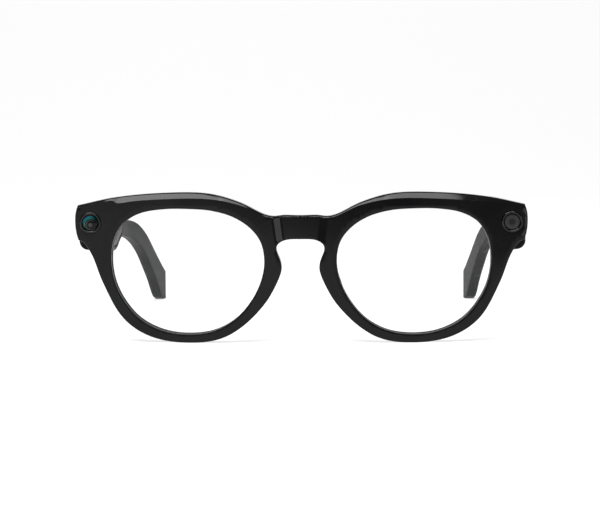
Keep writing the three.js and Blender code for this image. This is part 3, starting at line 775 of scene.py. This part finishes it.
def build_back_sheet():
    """The back surface, with the recesses for what is fitted from behind. The sides are rows of points
    across the rise to the end pieces."""
    inner_side = np.vstack([rectangle((place, place + 0.01), (30, 48), 0.5)
                            for place in np.arange(END_BLOCK_X[0], END_BLOCK_X[1] + 0.1, 0.15)])
    under_side = np.vstack([rectangle((61, 74), (height, height + 0.01), 0.5)
                            for height in np.arange(END_BLOCK_Z[0], END_BLOCK_Z[1] + 0.1, 0.18)])
    cover = rectangle((END_COVER_X[0] - GAP, END_COVER_X[1] + GAP),
                      (END_COVER_Z[0] - GAP, END_COVER_Z[1] + GAP))
    leaf = rectangle((62.9, 65.3), (LEAF_Z[0] - GAP, LEAF_Z[1] + GAP))
    contact = circle(CONTACT_X, FITTING_Z, 1.25, 40)
    microphone = rectangle((-2.15, 2.15), (FITTING_Z - 1.25, FITTING_Z + 1.25), 0.4)
    channel = brow_strip_outline(STRIP_BELOW_BROW[0] - 0.2, STRIP_BELOW_BROW[1] + 0.2,
                                 STRIP_HALF_LENGTH + 0.1)
    pockets = [(shape, flat_floor(12.7)) for shape in both_sides([cover])]
    pockets += [(shape, flat_floor(10.6)) for shape in both_sides([leaf])]
    pockets += [(shape, wrapped_floor(3.7)) for shape in both_sides([contact])]
    pockets += [(microphone, wrapped_floor(3.3)), (channel, wrapped_floor(3.2))]
    return face_sheet(back_depth, both_sides([inner_side, under_side]), pockets, BACK_ROUNDING)


def build_front():
    """The two sheets with a wall round the outline and round each opening, which has the lens's groove."""
    front = build_front_sheet()
    rear = build_back_sheet()
    shape = front + Shape(rear.vertices, [t[::-1] for t in rear.faces])
    start = 0
    plain = [(0, 0.25), (0, 0.5), (0, 0.75)]
    groove = [(0, 0.18), (0.9, 0.18), (0.9, 0.82), (0, 0.82)]
    for loop, wall, is_outline in [(outline, plain, True)] + [(hole, groove, False) for hole in openings]:
        edge = np.arange(start, start + len(loop))
        start += len(loop)
        first = front.vertices[edge]
        last = rear.vertices[edge]
        previous = edge
        outward = is_outline == (turn_of(loop) < 0)
        for reach, share in wall:
            moved = offset(loop, reach)
            level = first[:, 1] * (1 - share) + last[:, 1] * share
            added = np.arange(len(shape.vertices), len(shape.vertices) + len(loop))
            ring = np.column_stack([moved[:, 0], level, moved[:, 1]])
            shape = Shape(np.vstack([shape.vertices, ring]), shape.faces + between(previous, added, outward))
            previous = added
        shape.faces += between(previous, edge + len(front.vertices), outward)
    return shape


add_piece("front_shell", build_front(), "front", "gloss_black", ["front_frame"])


def build_lens():
    """A dome with a polished bevel round the edge, which sits in the rim's groove."""
    edge = offset(opening, LENS_IN_GROOVE)
    centre = edge.mean(axis=0)
    rings = []
    levels = [(reach, LENS_SETBACK) for reach in (0.02, 0.2, 0.4, 0.6, 0.75, 0.88, 0.965)]
    levels += [(1, LENS_SETBACK + 0.35), (1, LENS_SETBACK + LENS_THICKNESS - 0.35)]
    levels += [(reach, LENS_SETBACK + LENS_THICKNESS) for reach in (0.965, 0.88, 0.75, 0.6, 0.4, 0.2, 0.02)]
    for reach, depth in levels:
        at = centre + (edge - centre) * reach
        y = wrap_at(at[:, 0]) + depth - LENS_BULGE * (1 - reach ** 2)
        rings.append(np.column_stack([at[:, 0], y, at[:, 1]]))
    return loft(rings)


def build_nose_pad():
    """A domed bar, fixed behind the inner part of the rim."""
    top = np.array([8.9, 26.2])
    bottom = np.array([12.6, 15.0])
    height = 4.3
    radius = 2.0
    lean = math.atan2(*(top - bottom)[::-1])
    turns = np.linspace(-math.pi / 2, math.pi / 2, 18)
    arcs = [(top, lean + turns), (bottom, lean + math.pi + turns)]
    straight_share = 0.45
    profile = [(0.0, 0.0), (0.0, straight_share)]
    for angle in np.linspace(0.15, math.pi / 2, 12):
        rise = straight_share + (1 - straight_share) * math.sin(angle)
        profile.append((radius * (1 - math.cos(angle)) * 0.92, rise))
    rings = []
    for inset, rise in profile:
        ring = np.vstack([centre + (radius - inset) * np.column_stack([np.cos(a), np.sin(a)])
                          for centre, a in arcs])
        y = wrap_at(ring[:, 0]) + RIM_DEPTH + GAP + height * rise
        rings.append(np.column_stack([ring[:, 0], y, ring[:, 1]]))
    return loft(rings)


add_pair("lens", build_lens(), FRONT, "clear_lens")
add_pair("nose_pad", build_nose_pad(), FRONT, "gloss_black")


# ---- Camera and indicator light ----

def rounded_profile(corners, radius, steps=5):
    """A closed (radius, y) profile with its corners rounded."""
    points = []
    corners = [np.array(c, float) for c in corners]
    for before, corner, after in zip(corners[-1:] + corners[:-1], corners, corners[1:] + corners[:1]):
        start = corner + (before - corner) / np.linalg.norm(before - corner) * radius
        end = corner + (after - corner) / np.linalg.norm(after - corner) * radius
        for t in np.linspace(0, 1, steps):
            points.append(tuple((1 - t) ** 2 * start + 2 * t * (1 - t) * corner + t ** 2 * end))
    return points + points[:1]


def dome_profile(radius, rise, edge_y, base_y, steps=14):
    """A shallow dome towards the front on a flat base."""
    top = [(radius * math.sin(a) + 0.001, edge_y - rise * math.cos(a))
           for a in np.linspace(0, math.pi / 2, steps)]
    return top + [(radius, base_y), (0.001, base_y)]


bezel_corners = [(BEZEL_BORE, BEZEL_Y[0]), (BEZEL_RADIUS, BEZEL_Y[0]),
                 (BEZEL_RADIUS, BEZEL_Y[1]), (BEZEL_BORE, BEZEL_Y[1])]
bezel = turned(rounded_profile(bezel_corners, 0.3), EYE_X, EYE_Z)
camera_window, light_window = (turned(dome_profile(BEZEL_BORE - GAP, rise, 5.1, 5.6), EYE_X, EYE_Z)
                               for rise in (0.35, 0.1))

add_piece("camera_ring", bezel.mirrored(), "front", "gloss_black", ["camera_bezel"], finish="ring_black")
add_piece("light_ring", bezel, "front", "gloss_black", ["light_bezel"], finish="ring_black")
add_piece("camera_dome", camera_window.mirrored(), "front", "coated_glass", ["camera_window"])
add_piece("light_dome", light_window, "front", "smoked_window", ["light_window"])


# ---- The temples ----

def inner_face_x(y):
    """The inner face bows out by 1 mm along its first part, and turns in past a smooth bend."""
    bend_start = 82
    bend_end = 98
    blend = np.clip(y - bend_start, 0, bend_end - bend_start) ** 2 / (2 * (bend_end - bend_start))
    past_bend = blend + np.clip(y - bend_end, 0, None)
    return ARM_INNER_X + ease(y, ARM_FRONT_Y, 60) - TOE_IN * past_bend


def thickness_at(y):
    return ARM_THICKNESS - (ARM_THICKNESS - TIP_THICKNESS) * ease(y, 40, 95)


def to_arm(vertices):
    """Bends a piece built beside x = 0 along the temple's inner face."""
    return vertices + np.column_stack([inner_face_x(vertices[:, 1]), np.zeros((len(vertices), 2))])


arm_tops = smooth_curve([top for top, _ in ARM_SECTIONS], 9)
arm_bottoms = smooth_curve([bottom for _, bottom in ARM_SECTIONS], 9)


def top_z(y):
    return np.interp(y, *arm_tops.T)


def bottom_z(y):
    return np.interp(y, *arm_bottoms.T)


def arm_ring(top, bottom, inset=0.0):
    thickness = thickness_at((top[0] + bottom[0]) / 2)
    height = math.dist(top, bottom)
    radii = (min(0.9, height * 0.2), min(thickness * 0.4, height * 0.35))
    return rounded_ring((0, thickness), top, bottom, radii, inset=inset)


def build_arm():
    """The temple's outside, before it is bent to its place."""
    front_rounding = 0.7
    tip_rounding = 0.5
    rings = []
    for angle in np.linspace(math.pi / 2, 0, 6):
        y = ARM_FRONT_Y + front_rounding * (1 - math.sin(angle))
        rings.append(arm_ring((y, top_z(y)), (y, bottom_z(y)), front_rounding * (1 - math.cos(angle))))
    rings += [arm_ring(top, bottom) for top, bottom in zip(arm_tops, arm_bottoms) if top[0] > 16]
    for (t0, b0), (t1, b1) in zip([ARM_SECTIONS[-1], *TIP_SECTIONS], TIP_SECTIONS):
        for share in (0.25, 0.5, 0.75, 1):
            top = np.array(t0) * (1 - share) + np.array(t1) * share
            bottom = np.array(b0) * (1 - share) + np.array(b1) * share
            rings.append(arm_ring(top, bottom))
    last_top, last_bottom = TIP_SECTIONS[-1]
    for angle in np.linspace(0, math.pi / 2, 5)[1:]:
        z = tip_rounding * (1 - math.sin(angle))
        inset = tip_rounding * (1 - math.cos(angle))
        rings.append(arm_ring((last_top[0], z), (last_bottom[0], z), inset))
    return loft(rings[::-1])


def side_plate(inset, span, x):
    """A plate in the temple's side view, this far inside its top and bottom edges."""
    rings = [np.array([(x[0], y, top_z(y) - inset), (x[0], y, bottom_z(y) + inset),
                       (x[1], y, bottom_z(y) + inset), (x[1], y, top_z(y) - inset)])
             for y in np.linspace(*span, 41)]
    return loft(rings[::-1])


def build_cover():
    """The cover on the temple's inner face, with softened edges."""
    below_edge = COVER_RECESS + GAP
    radii = (COVER_ROUNDING * 1.3,) * 2
    rings = []
    for y in np.linspace(*COVER_SPAN, 60):
        inset = float(round_off(min(y - COVER_SPAN[0], COVER_SPAN[1] - y), COVER_ROUNDING))
        rings.append(rounded_ring((0, COVER_THICKNESS), (y, top_z(y) - below_edge),
                                  (y, bottom_z(y) + below_edge), radii, 5, 6, inset))
    return loft(rings[::-1])


SLIDER_ROOM = block((-2, 4), (SLIDER_SPAN[0] - GAP, SLIDER_SPAN[1] + SLIDER_TRAVEL + GAP),
                    (SLIDER_Z[0] - GAP, SLIDER_Z[1] + GAP))
BUTTON_ROOM = block((BUTTON_WIDTH[0] - GAP, BUTTON_WIDTH[1] + GAP),
                    (BUTTON_SPAN[0] - GAP, BUTTON_SPAN[1] + GAP), (36, 50))


def build_housing(*more_tools):
    tools = [
        side_plate(COVER_RECESS, (COVER_SPAN[0] - GAP, COVER_SPAN[1] + GAP), (-1, COVER_THICKNESS + GAP)),
        block((-2, 1.5), (ARM_FRONT_Y - 1, ARM_LEAF_END + GAP), (LEAF_Z[0] - GAP, LEAF_Z[1] + 0.1)),
        block((2, 5), (GRILLE_SPAN[0] - GAP, GRILLE_SPAN[1] + GAP), (20, 29.2)),
    ]
    return cut(build_arm(), *tools, *more_tools).moved(to_arm)


housings = (build_housing(), build_housing(BUTTON_ROOM).mirrored())
covers = (cut(build_cover(), SLIDER_ROOM).moved(to_arm), build_cover().moved(to_arm).mirrored())
for side, arm, housing in zip(SIDES, ARMS, housings):
    add_piece(f"{side}_housing_shell", housing, arm, "gloss_black", [f"{arm}_housing"], finish="arm_black")
for side, arm, cover in zip(SIDES, ARMS, covers):
    add_piece(f"{side}_cover_plate", cover, arm, "satin_black", [f"{arm}_cover"])


# ---- Hinges ----

def build_front_leaf():
    plate = soft_box((63.2, 65), (10.8, HINGE_Y), LEAF_Z, 0.25)
    knuckles = upright(KNUCKLE_RADIUS, LEAF_Z, HINGE_X, HINGE_Y, 0.15)
    middle_room = upright(KNUCKLE_RADIUS + GAP + 0.05, (MIDDLE_KNUCKLE[0] - GAP, MIDDLE_KNUCKLE[1] + GAP),
                          HINGE_X, HINGE_Y)
    bore = upright(SCREW_RADIUS + GAP, (LEAF_Z[0] - 1, LEAF_Z[1] + 1), HINGE_X, HINGE_Y)
    return cut(join(plate, knuckles), middle_room, bore)


def build_hinge_screw():
    head = LEAF_Z[1] + GAP
    screw = join(upright(SCREW_RADIUS, (LEAF_Z[0] + 0.2, head + 0.2), HINGE_X, HINGE_Y, 0.1),
                 upright(1.4, (head, head + 0.8), HINGE_X, HINGE_Y, 0.2))
    slot = block((HINGE_X - 2, HINGE_X + 2), (HINGE_Y - 0.2, HINGE_Y + 0.2), (head + 0.4, 50))
    return cut(screw, slot)


def build_arm_leaf():
    plate = soft_box((0.1, 1.2), (ARM_FRONT_Y + 0.4, ARM_LEAF_END), (LEAF_Z[0], LEAF_Z[1] - 0.2), 0.2)
    bridge = block((HINGE_X, ARM_INNER_X + 0.6), (15.7, 17.9), MIDDLE_KNUCKLE)
    knuckle = upright(KNUCKLE_RADIUS, MIDDLE_KNUCKLE, HINGE_X, HINGE_Y, 0.15)
    bore = upright(SCREW_RADIUS + GAP, (30, 45), HINGE_X, HINGE_Y)
    return cut(join(plate.moved(to_arm), bridge, knuckle), bore)


add_pair("front_hinge_leaf", build_front_leaf(), FRONT, "steel")
add_pair("hinge_screw", build_hinge_screw(), FRONT, "steel")
add_pair("temple_hinge_leaf", build_arm_leaf(), ARMS, "steel")


# ---- Fittings ----

def build_brow_cover():
    """A strip that closes the channel along the brow's back."""
    near, far = STRIP_BELOW_BROW
    radius = 0.25
    rings = []
    for x in np.linspace(-STRIP_HALF_LENGTH, STRIP_HALF_LENGTH, 200):
        inset = float(round_off(STRIP_HALF_LENGTH - abs(x), radius))
        y = (wrap_at(x) + 4.1, wrap_at(x) + RIM_DEPTH)
        top = brow_z(x)
        ring = rounded_ring(y, (0, top - near), (0, top - far), (0.1, radius), 4, 2, inset)
        rings.append(np.column_stack([np.full(len(ring), x), ring[:, 0], ring[:, 2]]))
    return loft(rings)


def build_contact():
    """A spring pin's cap: a disc with a soft rim and a shallow dimple."""
    profile = [(0.001, 4.0), (0.9, 4.0), (1.0, 4.1), (1.0, 4.85), (0.93, 4.96), (0.82, RIM_DEPTH),
               (0.5, RIM_DEPTH), (0.4, 4.93), (0.001, 4.9)]
    return turned(profile[::-1], CONTACT_X, FITTING_Z, 64)


def build_microphone():
    """A small block with two ports in its back."""
    front_y = 3.6
    back_y = 4.9
    ports = [upright(0.3, (-1, 1), 0, 0, count=32).moved(
        lambda v, x=x: np.column_stack([v[:, 0] + x, v[:, 2] + back_y, v[:, 1] + FITTING_Z]))
        for x in (-0.8, 0.8)]
    return cut(soft_box((-1.9, 1.9), (front_y, back_y), (FITTING_Z - 1, FITTING_Z + 1), 0.2), *ports)


def build_grille():
    """A plate in the temple's lower edge with three rows of holes."""
    plate = block((2.3, 4.7), GRILLE_SPAN, (27.4, 28.2))
    holes = [upright(0.33, (20, 35), x, y, count=24)
             for x in (2.9, 3.5, 4.1) for y in np.linspace(GRILLE_SPAN[0] + 0.8, GRILLE_SPAN[1] - 0.8, 7)]
    return cut(plate, *holes).moved(to_arm)


def build_button():
    """The capture button follows the temple's top edge, stands a little proud and has a dished top."""
    middle = sum(BUTTON_SPAN) / 2
    half_length = (BUTTON_SPAN[1] - BUTTON_SPAN[0]) / 2
    rings = []
    for y in np.linspace(*BUTTON_SPAN, 40):
        inset = float(round_off(half_length - abs(y - middle), 0.35))
        dish = 0.2 * (1 - ((y - middle) / half_length) ** 2)
        top = top_z(y) + 0.48 - dish
        rings.append(rounded_ring(BUTTON_WIDTH, (y, top), (y, top_z(y) - 2.2), (0.4, 0.4), 5, 3, inset))
    return loft(rings[::-1]).moved(to_arm)


def build_slider():
    """The power slider's thumb piece, with ridges across it."""
    ridges = [block((-0.9, -0.22), (y - 0.2, y + 0.2), (SLIDER_Z[0] - 1, SLIDER_Z[1] + 1))
              for y in np.linspace(SLIDER_SPAN[0] + 1, SLIDER_SPAN[1] - 1, 6)]
    return cut(soft_box((-0.5, 1.8), SLIDER_SPAN, SLIDER_Z, 0.2), *ridges).moved(to_arm)


add_pair("endpiece_cover", soft_box(END_COVER_X, (13, END_BACK_Y), END_COVER_Z, 0.3), FRONT, "satin_black")
add_pair("charging_contact", build_contact(), FRONT, "gold")
add_pair("speaker_grille", build_grille(), ARMS, "satin_black")
add_piece("brow_strip", build_brow_cover(), "front", "satin_black", ["brow_cover"])
add_piece("microphone_block", build_microphone(), "front", "soft_black", ["nose_microphone"])
add_piece("button_cap", build_button().mirrored(), "capture_button", "gloss_black", ["capture_button"])
add_piece("slider_cap", build_slider(), "power_slider", "satin_black", ["power_slider"])


# ---- What is left of the CAD ----

slot_of = {part["node"]: part["material_slot"] for part in frame["record"]["subparts"]}
for node in frame["nodes"].values():
    if not node.hide_render:
        slot = slot_of[node.name]
        node.data.materials.clear()
        node.data.materials.append(materials[slot])
        shade(node.data)


# ---- Studio ----

def add_light(name, location, aim, size, power):
    data = bpy.data.lights.new(name, "AREA")
    data.shape = "RECTANGLE"
    data.size, data.size_y = size
    data.energy = power
    o = bpy.data.objects.new(name, data)
    bpy.context.scene.collection.objects.link(o)
    o.location = location
    o.rotation_euler = (Vector(aim) - Vector(location)).to_track_quat("-Z", "Y").to_euler()


def build_studio():
    """A pale floor that curves up into a backdrop. Both glow, and less so towards +X and the front."""
    profile = [(-1.5, 0)]
    profile += [(0.9 + 0.5 * math.sin(a), 0.5 - 0.5 * math.cos(a)) for a in np.linspace(0, math.pi / 2, 24)]
    profile.append((1.4, 2.2))
    vertices = [(x, y, z) for x in (-2.2, 2.2) for y, z in profile]
    count = len(profile)
    faces = [(i, count + i, count + i + 1, i + 1) for i in range(count - 1)]
    mesh = bpy.data.meshes.new("floor")
    mesh.from_pydata(vertices, [], faces)
    mesh.shade_smooth()
    floor = bpy.data.objects.new("floor", mesh)
    bpy.context.scene.collection.objects.link(floor)
    pale = Nodes("studio_white", (0.35, 0.35, 0.35), 0.9, specular=0.0, Emission_Color=(1, 1, 1, 1))
    # Towards +X and the front the glow weakens and the colour darkens: painted shade on the floor.
    across = pale.vector_math("DOT_PRODUCT", i0=pale.place, i1=(1, -0.6, 0)).outputs["Value"]
    dimmed_between = (0.26, 0.46)
    pale.link(pale.spread(across, 0.74, 0.1, *dimmed_between), "Emission Strength")
    pale.link(pale.spread(across, 0.35, 0.12, *dimmed_between), "Base Color")
    pale.uneven_roughness(20, 0.85, 0.95)
    mesh.materials.append(pale.material)


build_studio()
add_light("softbox_left", (-0.325, -0.4, 0.9), (-0.1, -0.05, 0.03), (0.65, 0.5), 12.3)
add_light("softbox_right", (0.16, -0.4, 0.9), (0.08, -0.05, 0.03), (0.32, 0.5), 5)
add_light("card_right", (0.25, -0.35, 0.06), (-0.01, -0.07, 0.04), (0.09, 0.13), 0.12)

world = bpy.data.worlds.new("studio")
bpy.context.scene.world = world
world.use_nodes = True
background = world.node_tree.nodes["Background"].inputs
background["Color"].default_value = (1, 1, 1, 1)
background["Strength"].default_value = 0.15

bpy.context.scene.view_settings.view_transform = "Standard"
